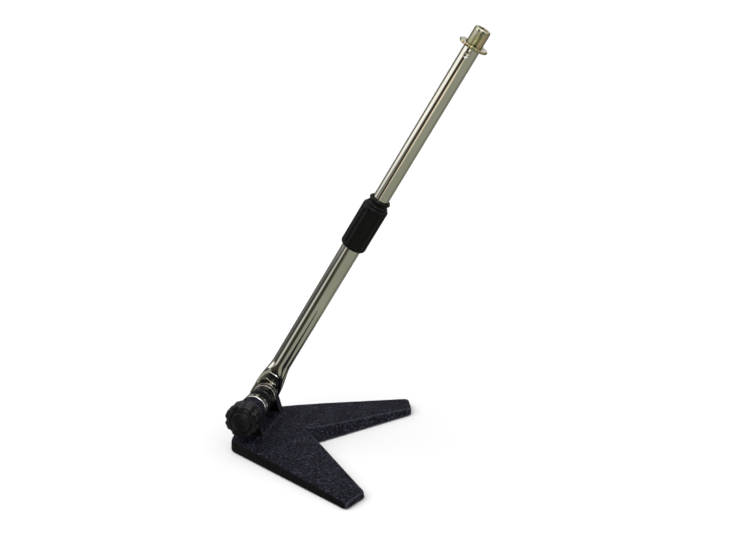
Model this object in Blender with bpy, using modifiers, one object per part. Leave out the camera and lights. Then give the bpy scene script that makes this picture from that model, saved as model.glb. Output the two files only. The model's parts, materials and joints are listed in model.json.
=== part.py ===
"""Desktop microphone stand: a V-shaped cast base, a tilting telescopic tube, a clutch and a threaded top.

The origin is on the desk, under the tilt axis. +X runs towards the leg tips, +Y away from the knob and
+Z up. The tilt axis runs along Y, and the tube leans towards +X.
"""

import math

import bmesh
import bpy
from mathutils import Vector

MM = 0.001
GAP = 0.3 * MM  # clearance between pieces that touch on the real object

# Tilt joint
PIVOT_Z = 38.4 * MM
TILT = math.radians(29.5)
TUBE_Y = 12.0 * MM  # the plane in which the tube swings
TUBE_BACK = 1.6 * MM  # how far the tube's centre line passes behind the tilt axis

# Base casting, in plan and in height
BASE_FLOOR = 0.8 * MM
REAR_X = -16.6 * MM
REAR_HALF = 41.2 * MM
REAR_ROUND = 11.0 * MM
TIP_OUTER = (130.6 * MM, 122.2 * MM)
TIP_INNER = (141.9 * MM, 93.2 * MM)
TIP_OUTER_ROUND = 4.0 * MM
TIP_INNER_ROUND = 7.0 * MM
NOTCH_X = 64.8 * MM
CREST_X = 51.0 * MM
HUB_Z = 16.6 * MM
CREST_Z = 15.6 * MM
REAR_EDGE_Z = 12.0 * MM
TIP_Z = 8.2 * MM
TIP_EDGE_Z = 7.4 * MM
EDGE_INSET = 2.2 * MM
CREST_INSET = 2.4 * MM  # at the tips, where the inner slope is steepest

# Hub pad and its two lugs
PAD_X = (-13.5 * MM, 17.0 * MM)
PAD_TOP = 17.6 * MM
PAD_MARGIN = 1.0 * MM  # how far the pad reaches past the lugs
NEAR_LUG_Y = (-29.0 * MM, -15.0 * MM)
NEAR_LUG_R = 14.0 * MM
NEAR_LUG_FOOT = (-13.5 * MM, 15.5 * MM)
FAR_LUG_Y = (23.6 * MM, 31.6 * MM)
FAR_LUG_R = 12.0 * MM
FAR_LUG_FOOT = (-12.5 * MM, 17.5 * MM)
BOLT_R = 4.0 * MM
BOLT_HOLE_R = 4.4 * MM

# Rubber pads
PAD_RECESS = 1.8 * MM
REAR_PAD_R = 11.0 * MM
TIP_PAD_R = 8.0 * MM
TIP_PAD_AT = (122.0 * MM, 97.0 * MM)

# Knob
KNOB_Y = (-50.0 * MM, -35.0 * MM)
KNOB_R = 18.5 * MM
KNOB_LOBES = 8
KNOB_NOTCH_R = 3.0 * MM
KNOB_NECK_R = 9.5 * MM
CAP_R = 10.8 * MM

# Tubes, measured from the tilt axis along the tube
WALL = 1.2 * MM
LOWER_R = 9.75 * MM
UPPER_R = 8.0 * MM
PRESSED_HALF = 14.0 * MM
PRESSED_END = -12.5 * MM
PRESSED_TO = 14.0 * MM
PRESSED_DEPTH = 2.5 * MM  # the two walls together, where they lie on each other
BEAD_AT = 11.5 * MM  # the fold beads along the pressed end's sides
ROUND_FROM = 50.0 * MM
LOWER_TOP = 216.0 * MM
UPPER_BOTTOM = 162.0 * MM
UPPER_TOP = 426.0 * MM
BUSH_BOTTOM = 152.0 * MM
DIMPLE_AT = 419.0 * MM
DIMPLE_R = 2.6 * MM
DIMPLE_DEPTH = 1.0 * MM
DIMPLE_TURN = math.radians(-90)  # round the tube, from +X

# Clutch
SLEEVE_BOTTOM = 200.0 * MM
SLEEVE_TOP = 249.0 * MM
COLLAR_TOP = 257.0 * MM
SLEEVE_R = 13.15 * MM
SLEEVE_BORE = 11.7 * MM
SLEEVE_RISE = 1.1 * MM  # how far the sleeve unscrews
FLUTES = 12
FLUTE_R = 3.6 * MM
FLUTE_DEPTH = 0.65 * MM

# Threaded top
RING_R = 14.2 * MM
RING_THICK = 2.6 * MM
RING_LOBES = 12
RING_SCALLOP = 0.55 * MM
STUB_R = 7.94 * MM
STUB_TOP = 445.0 * MM
STUB_BORE_R = 4.6 * MM
STUB_BORE_DEPTH = 8.0 * MM
STAKE_GROOVE_R = 5.2 * MM


# ---------------------------------------------------------------- scene and materials

for stale in list(bpy.data.objects):
    bpy.data.objects.remove(stale, do_unlink=True)

parts = bpy.data.collections.new("desktop_mic_stand")
cutters = bpy.data.collections.new("cutters")
for group in (parts, cutters):
    bpy.context.scene.collection.children.link(group)


def finish(name, colour, roughness, metallic=0.0):
    """A Principled material."""
    material = bpy.data.materials.new(name)
    material.use_nodes = True
    shader = material.node_tree.nodes["Principled BSDF"]
    shader.inputs["Base Color"].default_value = (*colour, 1.0)
    shader.inputs["Roughness"].default_value = roughness
    shader.inputs["Metallic"].default_value = metallic
    return material


WRINKLE_COAT = finish("black_wrinkle_coat", (0.022, 0.022, 0.026), 0.62)
BLACK_PLASTIC = finish("black_plastic", (0.018, 0.018, 0.018), 0.42)
BLACK_RUBBER = finish("black_rubber", (0.012, 0.012, 0.012), 0.80)
CHROME = finish("chrome", (0.55, 0.55, 0.48), 0.14, 1.0)
ZINC = finish("yellow_zinc", (0.62, 0.55, 0.33), 0.30, 1.0)
STEEL = finish("bright_steel", (0.56, 0.56, 0.55), 0.32, 1.0)
BRASS = finish("brass", (0.60, 0.44, 0.16), 0.30, 1.0)
NYLON = finish("natural_nylon", (0.70, 0.68, 0.60), 0.50)
FIBRE = finish("fibre", (0.20, 0.06, 0.03), 0.75)


# ---------------------------------------------------------------- placing

tilt_frame = bpy.data.objects.new("tilt_frame", None)
tilt_frame.location = (0.0, 0.0, PIVOT_Z)
tilt_frame.rotation_euler = (0.0, TILT, 0.0)
parts.objects.link(tilt_frame)


def along_axle(obj):
    """Turns local +Z to world +Y, with the origin on the tilt axis: local z is world y."""
    obj.location = (0.0, 0.0, PIVOT_Z)
    obj.rotation_euler = (-math.pi / 2, 0.0, 0.0)
    return obj


def along_tube(obj):
    """Local z is the distance along the tube, with the origin on the tube's centre line."""
    obj.parent = tilt_frame
    obj.location = (-TUBE_BACK, TUBE_Y, 0.0)
    return obj


# ---------------------------------------------------------------- making shapes


def add(name, mesh, material, group=parts):
    obj = bpy.data.objects.new(name, mesh)
    group.objects.link(obj)
    if material:
        mesh.materials.append(material)
    return obj


def mesh_from(bm, name):
    mesh = bpy.data.meshes.new(name)
    bm.to_mesh(mesh)
    bm.free()
    return mesh


def smooth(obj, angle=35.0):
    obj.data.shade_smooth()
    obj.data.set_sharp_from_angle(angle=math.radians(angle))
    return obj


def turned(name, profile, material, steps=24, closed=False, group=parts):
    """A Screw of (radius, z) points, listed down the outer side, and back up the inner side if closed."""
    bm = bmesh.new()
    points = [bm.verts.new((radius, 0.0, z)) for radius, z in profile]
    for first, second in zip(points, points[1:] + points[:1] if closed else points[1:]):
        bm.edges.new((first, second))
    obj = add(name, mesh_from(bm, name), material, group)
    screw = obj.modifiers.new("turn", "SCREW")
    screw.steps = screw.render_steps = steps
    screw.use_merge_vertices = True
    screw.merge_threshold = 1e-6
    screw.use_smooth_shade = True
    return obj


def ring(name, outer, inner, low, high, chamfer, material, steps=24):
    """A turned ring with chamfered outer edges."""
    profile = [
        (inner, high),
        (outer - chamfer, high),
        (outer, high - chamfer),
        (outer, low + chamfer),
        (outer - chamfer, low),
        (inner, low),
    ]
    return turned(name, profile, material, steps, closed=True)


def cylinder(name, radius, low, high, steps=24):
    bm = bmesh.new()
    bmesh.ops.create_cone(
        bm, cap_ends=True, segments=steps, radius1=radius, radius2=radius, depth=high - low
    )
    bmesh.ops.translate(bm, verts=bm.verts, vec=(0.0, 0.0, (low + high) / 2))
    return add(name, mesh_from(bm, name), None, cutters)


def block(name, low, high):
    bm = bmesh.new()
    bmesh.ops.create_cube(bm, size=1.0)
    size = [b - a for a, b in zip(low, high)]
    bmesh.ops.scale(bm, verts=bm.verts, vec=size)
    bmesh.ops.translate(bm, verts=bm.verts, vec=[(a + b) / 2 for a, b in zip(low, high)])
    return add(name, mesh_from(bm, name), None, cutters)


def combine(obj, other, operation):
    """A Boolean with a helper, which is kept out of the render."""
    other.hide_render = True
    other.display_type = "WIRE"
    modifier = obj.modifiers.new(f"{operation.lower()}_{other.name}", "BOOLEAN")
    modifier.object = other
    modifier.operation = operation
    return obj


def arc(centre, radius, start, end, count):
    """Points on a circle from the start angle to the end angle, both in degrees and both included."""
    angles = [math.radians(start + (end - start) * i / (count - 1)) for i in range(count)]
    return [(centre[0] + radius * math.cos(a), centre[1] + radius * math.sin(a)) for a in angles]


def rounded_corner(before, corner, after, radius, count):
    """The arc that replaces a corner of a plan outline."""
    here = Vector(corner)
    back = (Vector(before) - here).normalized()
    ahead = (Vector(after) - here).normalized()
    half = math.acos(max(-1.0, min(1.0, back.dot(ahead)))) / 2
    centre = here + (back + ahead).normalized() * (radius / math.sin(half))
    start = here + back * (radius / math.tan(half)) - centre
    end = here + ahead * (radius / math.tan(half)) - centre
    turn = start.angle_signed(end)
    points = []
    for i in range(count):
        angle = -turn * i / (count - 1)
        x = start.x * math.cos(angle) - start.y * math.sin(angle)
        y = start.x * math.sin(angle) + start.y * math.cos(angle)
        points.append((centre.x + x, centre.y + y))
    return points


# ---------------------------------------------------------------- base casting


def between(a, b, share):
    return tuple(p + (q - p) * share for p, q in zip(a, b))


def base_sections():
    """Pairs of plan points, inner and outer, from the middle of the rear face round to the leg's end."""
    rear = (REAR_X, 0.0)
    corner = (REAR_X, REAR_HALF)
    notch = (NOTCH_X, 0.0)
    outline = rounded_corner(rear, corner, TIP_OUTER, REAR_ROUND, 6)
    pairs = [(rear, (REAR_X, REAR_HALF * 0.45))]
    inner_share = (0.02, 0.05, 0.09, 0.14, 0.20, 0.27)
    pairs += [(between(rear, notch, s), point) for s, point in zip(inner_share, outline)]
    last = outline[-1]
    for s_inner, s_outer in ((0.45, 0.12), (0.62, 0.22), (0.80, 0.32), (1.0, 0.44)):
        pairs.append((between(rear, notch, s_inner), between(last, TIP_OUTER, s_outer)))
    for share in (0.2, 0.4, 0.6, 0.8, 0.9):
        outer = between(last, TIP_OUTER, 0.44 + 0.54 * share)
        pairs.append((between(notch, TIP_INNER, share), outer))
    inner_end = rounded_corner(notch, TIP_INNER, TIP_OUTER, TIP_INNER_ROUND, 5)
    outer_end = rounded_corner(last, TIP_OUTER, TIP_INNER, TIP_OUTER_ROUND, 5)
    return pairs + list(zip(inner_end, outer_end)), len(pairs)


def mix(a, b, share):
    return a + (b - a) * share


def base_section(inner, outer, on_middle, reach):
    """One closed section: from the inner bottom edge outward, then back over the top.

    reach is 0 at the hub and 1 at the leg's tip. A section that starts on the middle line has its
    highest point there, and the others have it at the head of the slope down to the notch.
    """
    inward = (Vector(inner) - Vector(outer)).normalized()
    span = (Vector(inner) - Vector(outer)).length
    edge_z = mix(REAR_EDGE_Z, TIP_EDGE_Z, reach)
    if on_middle:
        crest = Vector((min(inner[0], CREST_X), inner[1]))
        forward = max(0.0, crest.x - PAD_X[1]) / (CREST_X - PAD_X[1])
        crest_z = mix(HUB_Z, CREST_Z, forward)
    else:
        slope = (NOTCH_X - CREST_X) * 0.75 * (1 - reach) + CREST_INSET
        crest = Vector(inner) - inward * slope
        crest_z = mix(CREST_Z, TIP_Z, reach)
    rim = Vector(outer) + inward * min(EDGE_INSET, span * 0.3)
    shoulder = Vector(outer) + inward * EDGE_INSET * 0.3
    points = [(*inner, BASE_FLOOR), (*outer, BASE_FLOOR), (*shoulder, edge_z - EDGE_INSET)]
    for share in (0.0, 0.10, 0.28, 0.55, 1.0):
        here = rim.lerp(crest, share)
        crown = math.sin(math.pi / 2 * share) ** 0.7
        points.append((here.x, here.y, mix(edge_z, crest_z, crown)))
    return points


def base_casting():
    """Half of the V, lofted through its sections and mirrored, then joined to the hub pad and the lugs."""
    pairs, straight = base_sections()
    bm = bmesh.new()
    rows = []
    for index, (inner, outer) in enumerate(pairs):
        on_middle = abs(inner[1]) < 1e-9
        far = Vector(inner).lerp(Vector(outer), 0.5).length
        reach = min(1.0, max(0.0, (far - 45 * MM) / (128 * MM)))
        reach = 1.0 if index >= straight else reach
        rows.append([bm.verts.new(p) for p in base_section(inner, outer, on_middle, reach)])
    for first, second in zip(rows, rows[1:]):
        count = len(first)
        for i in range(count):
            j = (i + 1) % count
            if j == 0 and abs(first[0].co.y) < 1e-9 and abs(second[0].co.y) < 1e-9:
                continue
            bm.faces.new((first[i], second[i], second[j], first[j]))
    bm.faces.new(rows[-1])
    bm.faces.new(list(reversed(rows[0])))
    bmesh.ops.remove_doubles(bm, verts=bm.verts, dist=1e-6)
    bmesh.ops.recalc_face_normals(bm, faces=bm.faces)
    obj = add("base_casting", mesh_from(bm, "base_casting"), WRINKLE_COAT)
    mirror = obj.modifiers.new("mirror", "MIRROR")
    mirror.use_axis = (False, True, False)
    mirror.merge_threshold = 1e-5
    pad_low = (PAD_X[0], NEAR_LUG_Y[0] - PAD_MARGIN, BASE_FLOOR + PAD_RECESS + PAD_MARGIN)
    pad_high = (PAD_X[1], FAR_LUG_Y[1] + PAD_MARGIN, PAD_TOP)
    combine(obj, bevel(block("hub_pad", pad_low, pad_high), 1.5 * MM, 2), "UNION")
    combine(obj, lug("near_lug", NEAR_LUG_Y, NEAR_LUG_R, NEAR_LUG_FOOT), "UNION")
    combine(obj, lug("far_lug", FAR_LUG_Y, FAR_LUG_R, FAR_LUG_FOOT), "UNION")
    hole = cylinder("bolt_hole", BOLT_HOLE_R, 2 * NEAR_LUG_Y[0], 2 * FAR_LUG_Y[1])
    combine(obj, along_axle(hole), "DIFFERENCE")
    for label, x, y, radius in pad_places():
        recess = cylinder(f"recess_{label}", radius + GAP, -BASE_FLOOR, BASE_FLOOR + PAD_RECESS)
        recess.location = (x, y, 0.0)
        combine(obj, recess, "DIFFERENCE")
    return smooth(obj, 40.0)


def bevel(obj, width, segments):
    modifier = obj.modifiers.new("edges", "BEVEL")
    modifier.width = width
    modifier.segments = segments
    modifier.limit_method = "ANGLE"
    return obj


def lug(name, span, radius, foot):
    """An upright lug: a round head about the tilt axis on a foot that widens to the pad."""
    rise = PIVOT_Z - HUB_Z + 3 * MM
    outline = [(foot[0], -rise), *arc((0, 0), radius, 198, -18, 13), (foot[1], -rise)]
    bm = bmesh.new()
    flat = bm.faces.new([bm.verts.new((x, span[0], z)) for x, z in outline])
    grown = bmesh.ops.extrude_face_region(bm, geom=[flat])
    moved = [item for item in grown["geom"] if isinstance(item, bmesh.types.BMVert)]
    bmesh.ops.translate(bm, verts=moved, vec=(0.0, span[1] - span[0], 0.0))
    bmesh.ops.recalc_face_normals(bm, faces=bm.faces)
    obj = add(name, mesh_from(bm, name), None, cutters)
    obj.location = (0.0, 0.0, PIVOT_Z)
    return bevel(obj, 0.8 * MM, 1)


def pad_places():
    x, y = TIP_PAD_AT
    return (
        ("rear", 0.0, 0.0, REAR_PAD_R),
        ("left", x, y, TIP_PAD_R),
        ("right", x, -y, TIP_PAD_R),
    )


def foot_pads():
    top = BASE_FLOOR + PAD_RECESS - GAP
    for label, x, y, radius in pad_places():
        edge = 0.5 * MM
        profile = [(0.0, top), (radius, top), (radius, edge), (radius - edge, 0.0), (0.0, 0.0)]
        pad = turned(f"foot_pad_{label}", profile, BLACK_RUBBER, 24)
        pad.location = (x, y, 0.0)


# ---------------------------------------------------------------- clamp on the tilt axis


def pivot_bolt():
    """An M8 bolt: its hex head is behind the far lug and its end is inside the knob."""
    head = FAR_LUG_Y[1] + 3.6 * MM
    profile = [
        (0.0, head + 1 * MM),
        (BOLT_R, head + 1 * MM),
        (BOLT_R, KNOB_Y[0] + 7.5 * MM),
        (BOLT_R - 0.8 * MM, KNOB_Y[0] + 6.7 * MM),
        (0.0, KNOB_Y[0] + 6.7 * MM),
    ]
    bolt = along_axle(turned("pivot_bolt", profile, STEEL))
    hexagon = along_axle(cylinder("bolt_head", 7.3 * MM, head, head + 5.3 * MM, 6))
    combine(bolt, bevel(hexagon, 0.4 * MM, 1), "UNION")


def axle_ring(name, outer, low, high, material, chamfer=0.3 * MM, inner=BOLT_HOLE_R):
    return along_axle(ring(name, outer, inner, low, high, chamfer, material))


def clamp_stack():
    near, far = NEAR_LUG_Y[1], FAR_LUG_Y[0]
    axle_ring("near_bush", 13.4 * MM, near + GAP, near + 8.0 * MM, CHROME, 0.8 * MM)
    axle_ring("compression_ring", 13.0 * MM, near + 8.3 * MM, near + 16.4 * MM, BLACK_RUBBER, 0.6 * MM)
    axle_ring("clamp_spacer", 12.0 * MM, near + 16.7 * MM, near + 30.6 * MM, BLACK_PLASTIC, 0.7 * MM)
    axle_ring("clamp_washer", 12.6 * MM, near + 30.9 * MM, near + 33.0 * MM, CHROME, 0.5 * MM)
    axle_ring("friction_disc", 12.2 * MM, far - 1.55 * MM, far - GAP, FIBRE, 0.2 * MM)
    axle_ring("bolt_washer", 8.4 * MM, FAR_LUG_Y[1] + GAP, FAR_LUG_Y[1] + 1.7 * MM, STEEL)
    axle_ring("lock_washer", 6.9 * MM, FAR_LUG_Y[1] + 2.0 * MM, FAR_LUG_Y[1] + 3.3 * MM, STEEL, 0.2 * MM)


def knob_pieces():
    front, back = KNOB_Y
    neck_end = NEAR_LUG_Y[0] - 1.9 * MM
    profile = [
        (5.4 * MM, neck_end),
        (KNOB_NECK_R, neck_end),
        (KNOB_NECK_R, back),
        (KNOB_R - 1.0 * MM, back),
        (KNOB_R, back - 1.0 * MM),
        (KNOB_R, front + 3.2 * MM),
        (KNOB_R - 0.9 * MM, front + 1.4 * MM),
        (KNOB_R - 3.0 * MM, front + 0.3 * MM),
        (CAP_R + 1.2 * MM, front),
        (CAP_R + GAP, front + 0.6 * MM),
        (CAP_R + GAP, front + 3.0 * MM),
        (5.4 * MM, front + 3.0 * MM),
    ]
    knob = along_axle(turned("knob", profile, BLACK_PLASTIC, 48, closed=True))
    for index in range(KNOB_LOBES):
        angle = 2 * math.pi * index / KNOB_LOBES
        notch = along_axle(cylinder(f"knob_notch_{index}", KNOB_NOTCH_R, front - 3 * MM, back + 3 * MM, 14))
        reach = KNOB_R + 0.5 * MM
        notch.location = (reach * math.cos(angle), 0.0, PIVOT_Z + reach * math.sin(angle))
        combine(knob, notch, "DIFFERENCE")
    smooth(knob)
    cap = [
        (0.0, front + 2.7 * MM),
        (CAP_R, front + 2.7 * MM),
        (CAP_R, front + 0.4 * MM),
        (CAP_R * 0.90, front - 0.5 * MM),
        (CAP_R * 0.62, front - 1.3 * MM),
        (CAP_R * 0.30, front - 1.7 * MM),
        (0.0, front - 1.8 * MM),
    ]
    along_axle(turned("knob_cap", cap, BLACK_PLASTIC, 32))
    axle_ring("knob_insert", 5.1 * MM, front + 6.0 * MM, neck_end - GAP, BRASS, inner=BOLT_R + GAP)
    axle_ring("knob_washer", 8.6 * MM, neck_end + GAP, NEAR_LUG_Y[0] - GAP, STEEL, 0.2 * MM)


# ---------------------------------------------------------------- lower tube


def tube_section(press, count=36):
    """Outer section of the lower tube. press is 0 where it is round and 1 where its two walls touch."""
    points = []
    for index in range(count):
        angle = 2 * math.pi * (index + 0.5) / count
        x, y = LOWER_R * math.cos(angle), LOWER_R * math.sin(angle)
        flat_x = PRESSED_HALF * math.copysign(abs(math.cos(angle)) ** 0.62, math.cos(angle))
        edge = (abs(flat_x) / PRESSED_HALF) ** 6
        bead = math.exp(-(((abs(flat_x) - BEAD_AT) / (1.6 * MM)) ** 2))
        far_y = LOWER_R - 1.3 * MM * edge
        near_y = LOWER_R - PRESSED_DEPTH - 0.9 * MM * bead + 0.5 * MM * edge
        flat_y = far_y if y > 0 else near_y
        points.append((x + (flat_x - x) * press, y + (flat_y - y) * press))
    return points


def press_at(z):
    share = min(1.0, max(0.0, (ROUND_FROM - z) / (ROUND_FROM - PRESSED_TO)))
    return share * share * (3 - 2 * share)


def lower_tube():
    """A round tube whose lower end is pressed flat and drilled for the bolt."""
    stations = [PRESSED_END + (PRESSED_TO - PRESSED_END) * i / 3 for i in range(4)]
    stations += [PRESSED_TO + (ROUND_FROM - PRESSED_TO) * i / 9 for i in range(1, 10)]
    stations += [(ROUND_FROM + LOWER_TOP) / 2, LOWER_TOP]
    bm = bmesh.new()
    rows = []
    for z in stations:
        round_off = max(0.0, 1 - (z - PRESSED_END) / (9 * MM))
        narrow = math.sqrt(max(0.0, 1 - (0.62 * round_off) ** 2))
        rows.append([bm.verts.new((x * narrow, y, z)) for x, y in tube_section(press_at(z))])
    for first, second in zip(rows, rows[1:]):
        count = len(first)
        for i in range(count):
            j = (i + 1) % count
            bm.faces.new((first[i], first[j], second[j], second[i]))
    bm.faces.new(list(reversed(rows[0])))
    bm.faces.new(rows[-1])
    bmesh.ops.recalc_face_normals(bm, faces=bm.faces)
    obj = along_tube(add("lower_tube", mesh_from(bm, "lower_tube"), CHROME))
    bore = turned(
        "lower_bore",
        [
            (0.0, LOWER_TOP + 5 * MM),
            (LOWER_R - WALL, LOWER_TOP + 5 * MM),
            (LOWER_R - WALL, ROUND_FROM + 3 * MM),
            (4.0 * MM, ROUND_FROM - 4 * MM),
            (0.0, ROUND_FROM - 5 * MM),
        ],
        None,
        36,
        group=cutters,
    )
    combine(obj, along_tube(bore), "DIFFERENCE")
    hole = cylinder("tube_bolt_hole", BOLT_HOLE_R, 0.0, 2 * TUBE_Y)
    combine(obj, along_axle(hole), "DIFFERENCE")
    return smooth(obj)


# ---------------------------------------------------------------- clutch


def clutch_body():
    """A threaded collar glued to the lower tube's end, with a shoulder on top that the collet stands on."""
    low, head = SLEEVE_BOTTOM + 3.4 * MM + SLEEVE_RISE, SLEEVE_BOTTOM + 27 * MM
    thread_r = SLEEVE_BORE - GAP
    profile = [
        (thread_r - 0.5 * MM, head),
        (thread_r, head - 0.5 * MM),
        (thread_r, low + 4.5 * MM),
        (thread_r - 0.4 * MM, low + 4 * MM),
        (thread_r - 0.4 * MM, low),
        (LOWER_R + GAP, low),
        (LOWER_R + GAP, LOWER_TOP + GAP),
        (UPPER_R + GAP, LOWER_TOP + GAP),
        (UPPER_R + GAP, head),
    ]
    along_tube(turned("clutch_body", profile, BLACK_PLASTIC, closed=True))


def clutch_seal():
    low = SLEEVE_BOTTOM + 1.0 * MM
    seal = ring("clutch_seal", 10.9 * MM, LOWER_R + 0.2 * MM, low, low + 1.7 * MM, 0.4 * MM, BLACK_RUBBER)
    along_tube(seal)


def clutch_collet():
    """A slotted cone that the sleeve's taper squeezes on the upper tube."""
    low, high = SLEEVE_BOTTOM + 27.8 * MM, SLEEVE_BOTTOM + 46.5 * MM
    profile = [
        (9.2 * MM, high),
        (9.9 * MM, high - 1 * MM),
        (10.9 * MM, low + 3.7 * MM),
        (10.9 * MM, low),
        (UPPER_R + GAP, low),
        (UPPER_R + GAP, high),
    ]
    collet = along_tube(turned("clutch_collet", profile, NYLON, closed=True))
    for index in range(2):
        slot_low = (-SLEEVE_R, -0.7 * MM, low + 5 * MM)
        slot_high = (SLEEVE_R, 0.7 * MM, high + 3 * MM)
        slot = along_tube(block(f"collet_slot_{index}", slot_low, slot_high))
        slot.rotation_euler = (0.0, 0.0, math.pi / 2 * index + 0.1)
        combine(collet, slot, "DIFFERENCE")


def clutch_sleeve():
    """The grip that is turned by hand: rounded at both ends, with shallow lengthwise flutes."""
    low, high = SLEEVE_BOTTOM, SLEEVE_TOP
    profile = [
        (10.4 * MM, high),
        (11.4 * MM, high - 0.1 * MM),
        (SLEEVE_R - 0.6 * MM, high - 1.2 * MM),
        (SLEEVE_R, high - 3.4 * MM),
        (SLEEVE_R, low + 3.0 * MM),
        (SLEEVE_R - 0.7 * MM, low + 1.0 * MM),
        (SLEEVE_R - 1.9 * MM, low + 0.1 * MM),
        (11.1 * MM, low),
        (LOWER_R + GAP, low),
        (LOWER_R + GAP, low + 0.7 * MM),
        (SLEEVE_BORE, low + 0.7 * MM),
        (SLEEVE_BORE, low + 31.5 * MM),
        (10.4 * MM, low + 46.8 * MM),
    ]
    sleeve = along_tube(turned("clutch_sleeve", profile, BLACK_PLASTIC, 48, closed=True))
    flute = [
        (0.0, high - 2.6 * MM),
        (0.6 * FLUTE_R, high - 3.2 * MM),
        (FLUTE_R, high - 5.2 * MM),
        (FLUTE_R, low + 5.0 * MM),
        (0.6 * FLUTE_R, low + 3.2 * MM),
        (0.0, low + 2.6 * MM),
    ]
    reach = SLEEVE_R + FLUTE_R - FLUTE_DEPTH
    for index in range(FLUTES):
        angle = 2 * math.pi * index / FLUTES
        cutter = along_tube(turned(f"flute_{index}", flute, None, 14, group=cutters))
        cutter.location.x += reach * math.cos(angle)
        cutter.location.y += reach * math.sin(angle)
        combine(sleeve, cutter, "DIFFERENCE")
    smooth(sleeve)


def clutch_collar():
    """The narrow neck that is pressed into the sleeve's top, with a lip round its mouth."""
    top = COLLAR_TOP
    profile = [
        (9.3 * MM, top),
        (10.1 * MM, top - 0.3 * MM),
        (10.9 * MM, top - 1.3 * MM),
        (10.9 * MM, top - 2.1 * MM),
        (9.9 * MM, top - 3.1 * MM),
        (9.9 * MM, top - 5.6 * MM),
        (11.0 * MM, SLEEVE_TOP + 1.2 * MM),
        (11.0 * MM, SLEEVE_TOP + GAP),
        (UPPER_R + GAP, SLEEVE_TOP + GAP),
        (UPPER_R + GAP, top - 0.8 * MM),
    ]
    along_tube(turned("clutch_collar", profile, BLACK_PLASTIC, 32, closed=True))


# ---------------------------------------------------------------- upper tube and threaded top


def upper_tube():
    bore = UPPER_R - WALL
    tube = along_tube(ring("upper_tube", UPPER_R, bore, UPPER_BOTTOM, UPPER_TOP, 0.2 * MM, CHROME, 36))
    bm = bmesh.new()
    bmesh.ops.create_uvsphere(bm, u_segments=14, v_segments=8, radius=DIMPLE_R)
    dimple = along_tube(add("dimple", mesh_from(bm, "dimple"), None, cutters))
    aside = UPPER_R + DIMPLE_R - DIMPLE_DEPTH
    dimple.location.x += aside * math.cos(DIMPLE_TURN)
    dimple.location.y += aside * math.sin(DIMPLE_TURN)
    dimple.location.z = DIMPLE_AT
    combine(tube, dimple, "DIFFERENCE")


def guide_bush():
    """A nylon bush on the upper tube's lower end, held by a spigot. It slides in the lower tube."""
    outer, spigot = LOWER_R - WALL - 0.25 * MM, UPPER_R - WALL - 0.35 * MM
    shoulder = UPPER_BOTTOM - GAP
    profile = [
        (spigot - 0.25 * MM, UPPER_BOTTOM + 10 * MM),
        (spigot, UPPER_BOTTOM + 9 * MM),
        (spigot, shoulder),
        (outer - 0.9 * MM, shoulder),
        (outer, shoulder - 0.5 * MM),
        (outer, BUSH_BOTTOM + 1 * MM),
        (outer - 0.7 * MM, BUSH_BOTTOM),
        (4.8 * MM, BUSH_BOTTOM),
        (4.8 * MM, UPPER_BOTTOM + 10 * MM),
    ]
    along_tube(turned("guide_bush", profile, NYLON, closed=True))


def thread_adapter():
    """A solid plug staked inside the upper tube, with the hollow threaded stub above it."""
    plug = UPPER_R - WALL - GAP
    profile = [
        (0.0, STUB_TOP - STUB_BORE_DEPTH - 1 * MM),
        (STUB_BORE_R, STUB_TOP - STUB_BORE_DEPTH),
        (STUB_BORE_R, STUB_TOP),
        (STUB_R - 1.7 * MM, STUB_TOP),
        (STUB_R - 0.5 * MM, STUB_TOP - 0.6 * MM),
        (STUB_R, STUB_TOP - 1.9 * MM),
        (STUB_R, UPPER_TOP + GAP),
        (plug, UPPER_TOP + GAP),
        (plug, DIMPLE_AT + 3.2 * MM),
        (STAKE_GROOVE_R, DIMPLE_AT + 2.2 * MM),
        (STAKE_GROOVE_R, DIMPLE_AT - 2.2 * MM),
        (plug, DIMPLE_AT - 3.2 * MM),
        (plug, DIMPLE_AT - 8.0 * MM),
        (0.0, DIMPLE_AT - 8.0 * MM),
    ]
    along_tube(turned("thread_adapter", profile, ZINC, 32))


def closed_spline(curve, count, radius_at):
    """A closed POLY spline round the origin, at a radius that depends on the angle."""
    spline = curve.splines.new("POLY")
    spline.points.add(count - 1)
    for index, point in enumerate(spline.points):
        angle = 2 * math.pi * index / count
        radius = radius_at(angle)
        point.co = (radius * math.cos(angle), radius * math.sin(angle), 0.0, 1.0)
    spline.use_cyclic_u = True


def lock_ring():
    """A thin threaded ring with a scalloped edge, resting on the upper tube's end."""
    edge = 0.3 * MM
    curve = bpy.data.curves.new("lock_ring", "CURVE")
    curve.dimensions = "2D"
    curve.fill_mode = "BOTH"
    curve.extrude = RING_THICK / 2 - edge
    curve.bevel_depth = edge
    curve.bevel_resolution = 0

    def scalloped(angle):
        return RING_R - edge - RING_SCALLOP * (0.5 - 0.5 * math.cos(RING_LOBES * angle))

    closed_spline(curve, RING_LOBES * 4, scalloped)
    closed_spline(curve, 32, lambda angle: STUB_R + GAP + edge)
    curve.materials.append(ZINC)
    obj = bpy.data.objects.new("lock_ring", curve)
    parts.objects.link(obj)
    along_tube(obj).location.z = UPPER_TOP + GAP + RING_THICK / 2


base_casting()
foot_pads()
pivot_bolt()
clamp_stack()
knob_pieces()
lower_tube()
clutch_body()
clutch_seal()
clutch_collet()
clutch_sleeve()
clutch_collar()
upper_tube()
guide_bush()
thread_adapter()
lock_ring()
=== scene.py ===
import json
import math

import bmesh
import bpy
import numpy as np
from mathutils import Matrix, Vector, noise


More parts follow.
